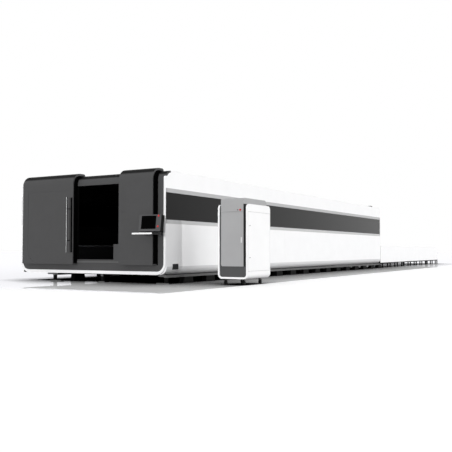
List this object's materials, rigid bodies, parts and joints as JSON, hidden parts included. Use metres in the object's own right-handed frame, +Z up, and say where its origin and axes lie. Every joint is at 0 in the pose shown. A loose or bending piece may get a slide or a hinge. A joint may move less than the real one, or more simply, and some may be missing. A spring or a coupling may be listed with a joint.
{
  "type": "fiber laser cutting machine",
  "caption": "Enclosed sheet laser cutter: dark sliding front door, side window band, operator console on an arm, slatted shuttle pallets on a lifting exchange table, separate laser cabinet",
  "frame": {"origin": "on the floor under the centre of the front right levelling foot", "axes": "+X along the machine from the dark front to the exchange table, +Y to the machine's left seen from behind the front, +Z up"},
  "size_m": [28.76, 6.844, 2.77],
  "materials": {
    "white_panel": "smooth satin powder coat",
    "white_rim": "smooth satin powder coat",
    "roof_white": "satin powder coat",
    "dark_front": "fine matt grey powder coat",
    "dark_hood": "fine matt grey powder coat",
    "window_band": "dark glossy laser-safe glazing",
    "black_paint": "matt black paint",
    "black_rubber": "matt black rubber",
    "bright_bar": "brushed",
    "plain_steel": "machined",
    "bed_grey": "satin machine paint",
    "gantry_white": "satin machine paint",
    "slat_steel": "hot rolled, scaled",
    "vent_black": "matt black paint",
    "console_grey": "fine matt powder coat",
    "arm_grey": "satin paint",
    "screen_glass": "glossy display cover",
    "tray_silver": "satin silver paint",
    "stop_red": "glossy red",
    "button_dark": "glossy black",
    "cabinet_white": "smooth satin powder coat",
    "cabinet_dark": "matt dark powder coat",
    "cabinet_silver": "satin silver powder coat",
    "latch_white": "smooth",
    "source_grey": "satin paint",
    "caster_steel": "black powder coat",
    "caster_tyre": "hard rubber"
  },
  "bodies": {
    "machine": {"base_beams": "black_paint", "machine_feet": "black_paint", "bed_frame": "bed_grey", "x_guides": "plain_steel", "right_wall": "white_panel", "left_wall": "white_panel", "right_window": "window_band", "left_window": "window_band", "roof_panels": "roof_white", "rear_portal": "white_panel", "front_rim": "white_rim", "fascia": "dark_front", "right_cover": "dark_hood", "side_vent": "vent_black", "exhaust_flange": "vent_black", "cover_end_seal": "black_rubber", "door_track": "black_paint", "console_bracket": "arm_grey", "table_frame": "black_paint", "table_panels": "white_panel", "lift_jacks": "plain_steel", "cabinet_shell": "cabinet_white", "cabinet_core": "cabinet_dark", "cabinet_spine": "cabinet_silver", "cabinet_side_panels": "cabinet_white", "laser_source": "source_grey"},
    "door": {"front_door": "dark_hood", "door_handle": "bright_bar", "door_end_seal": "black_rubber", "door_rollers": "plain_steel"},
    "side_door": {"service_door": "white_panel"},
    "arm": {"console_arm": "arm_grey"},
    "console": {"console_box": "console_grey", "console_screen": "screen_glass", "keyboard_tray": "tray_silver"},
    "upper_stop": {"console_stop_upper": "stop_red"},
    "lower_stop": {"console_stop_lower": "stop_red"},
    "cycle": {"cycle_button": "button_dark"},
    "gantry": {"gantry_beam": "gantry_white", "gantry_trucks": "bed_grey"},
    "saddle": {"y_saddle": "bed_grey"},
    "head": {"z_slide": "gantry_white", "cutting_head": "plain_steel"},
    "pallet_a": {"pallet_a_frame": "bed_grey", "pallet_a_slats": "slat_steel"},
    "lift": {"lift_frame": "bed_grey"},
    "pallet_b": {"pallet_b_frame": "bed_grey", "pallet_b_slats": "slat_steel"},
    "cabinet_leaf": {"cabinet_door": "cabinet_silver"},
    "latch": {"cabinet_latch": "latch_white"},
    "cabinet_stop_button": {"cabinet_stop": "stop_red"},
    "cabinet_reset_button": {"cabinet_button": "button_dark"},
    "caster_front_right": {"caster_fork_front_right": "caster_steel"},
    "wheel_front_right": {"caster_wheel_front_right": "caster_tyre"},
    "caster_front_left": {"caster_fork_front_left": "caster_steel"},
    "wheel_front_left": {"caster_wheel_front_left": "caster_tyre"},
    "caster_rear_right": {"caster_fork_rear_right": "caster_steel"},
    "wheel_rear_right": {"caster_wheel_rear_right": "caster_tyre"},
    "caster_rear_left": {"caster_fork_rear_left": "caster_steel"},
    "wheel_rear_left": {"caster_wheel_rear_left": "caster_tyre"}
  },
  "joints": [
    {"name": "door_slide", "type": "slide", "parent": "machine", "child": "door", "axis": [0, -1, 0], "range_m": [0, 1.44]},
    {"name": "service_hinge", "type": "hinge", "parent": "machine", "child": "side_door", "pos_m": [1.062, 4.759, 1.3], "axis": [0, 0, -1], "range_deg": [0, 100]},
    {"name": "arm_swing", "type": "hinge", "parent": "machine", "child": "arm", "pos_m": [-0.095, 0.13, 1.19], "axis": [0, 0, 1], "range_deg": [0, 80]},
    {"name": "console_turn", "type": "hinge", "parent": "arm", "child": "console", "pos_m": [-0.37, 0.13, 1.19], "axis": [0, 0, -1], "range_deg": [-60, 0]},
    {"name": "upper_stop_press", "type": "slide", "parent": "console", "child": "upper_stop", "axis": [0.9903, 0, -0.1392], "range_m": [0, 0.006], "stiffness_N_per_m": 900, "springref_m": -0.002},
    {"name": "lower_stop_press", "type": "slide", "parent": "console", "child": "lower_stop", "axis": [0.9903, 0, -0.1392], "range_m": [0, 0.006], "stiffness_N_per_m": 900, "springref_m": -0.002},
    {"name": "cycle_press", "type": "slide", "parent": "machine", "child": "cycle", "axis": [1, 0, 0], "range_m": [0, 0.006], "stiffness_N_per_m": 700, "springref_m": -0.002},
    {"name": "gantry_x", "type": "slide", "parent": "machine", "child": "gantry", "axis": [1, 0, 0], "range_m": [0, 12.2]},
    {"name": "saddle_y", "type": "slide", "parent": "gantry", "child": "saddle", "axis": [0, 1, 0], "range_m": [-1.2, 1.2]},
    {"name": "head_z", "type": "slide", "parent": "saddle", "child": "head", "axis": [0, 0, 1], "range_m": [-0.23, 0]},
    {"name": "pallet_a_shuttle", "type": "slide", "parent": "machine", "child": "pallet_a", "axis": [1, 0, 0], "range_m": [0, 12.55]},
    {"name": "table_lift", "type": "slide", "parent": "machine", "child": "lift", "axis": [0, 0, 1], "range_m": [-0.2, 0]},
    {"name": "pallet_b_shuttle", "type": "slide", "parent": "lift", "child": "pallet_b", "axis": [-1, 0, 0], "range_m": [0, 12.55]},
    {"name": "cabinet_hinge", "type": "hinge", "parent": "machine", "child": "cabinet_leaf", "pos_m": [0.368, -1.296, 1.06], "axis": [0, 0, -1], "range_deg": [0, 110]},
    {"name": "latch_turn", "type": "hinge", "parent": "cabinet_leaf", "child": "latch", "pos_m": [0.357, -1.826, 1.085], "axis": [1, 0, 0], "range_deg": [0, 90]},
    {"name": "cabinet_stop_press", "type": "slide", "parent": "machine", "child": "cabinet_stop_button", "axis": [1, 0, 0], "range_m": [0, 0.006], "stiffness_N_per_m": 900, "springref_m": -0.002},
    {"name": "cabinet_reset_press", "type": "slide", "parent": "machine", "child": "cabinet_reset_button", "axis": [1, 0, 0], "range_m": [0, 0.006], "stiffness_N_per_m": 700, "springref_m": -0.002},
    {"name": "swivel_front_right", "type": "hinge", "parent": "machine", "child": "caster_front_right", "pos_m": [0.435, -1.83, 0.12], "axis": [0, 0, 1], "continuous": true},
    {"name": "spin_front_right", "type": "hinge", "parent": "caster_front_right", "child": "wheel_front_right", "pos_m": [0.463, -1.83, 0.05], "axis": [0, 1, 0], "continuous": true},
    {"name": "swivel_front_left", "type": "hinge", "parent": "machine", "child": "caster_front_left", "pos_m": [0.435, -1.35, 0.12], "axis": [0, 0, 1], "continuous": true},
    {"name": "spin_front_left", "type": "hinge", "parent": "caster_front_left", "child": "wheel_front_left", "pos_m": [0.463, -1.35, 0.05], "axis": [0, 1, 0], "continuous": true},
    {"name": "swivel_rear_right", "type": "hinge", "parent": "machine", "child": "caster_rear_right", "pos_m": [1.235, -1.83, 0.12], "axis": [0, 0, 1], "continuous": true},
    {"name": "spin_rear_right", "type": "hinge", "parent": "caster_rear_right", "child": "wheel_rear_right", "pos_m": [1.263, -1.83, 0.05], "axis": [0, 1, 0], "continuous": true},
    {"name": "swivel_rear_left", "type": "hinge", "parent": "machine", "child": "caster_rear_left", "pos_m": [1.235, -1.35, 0.12], "axis": [0, 0, 1], "continuous": true},
    {"name": "spin_rear_left", "type": "hinge", "parent": "caster_rear_left", "child": "wheel_rear_left", "pos_m": [1.263, -1.35, 0.05], "axis": [0, 1, 0], "continuous": true}
  ]
}
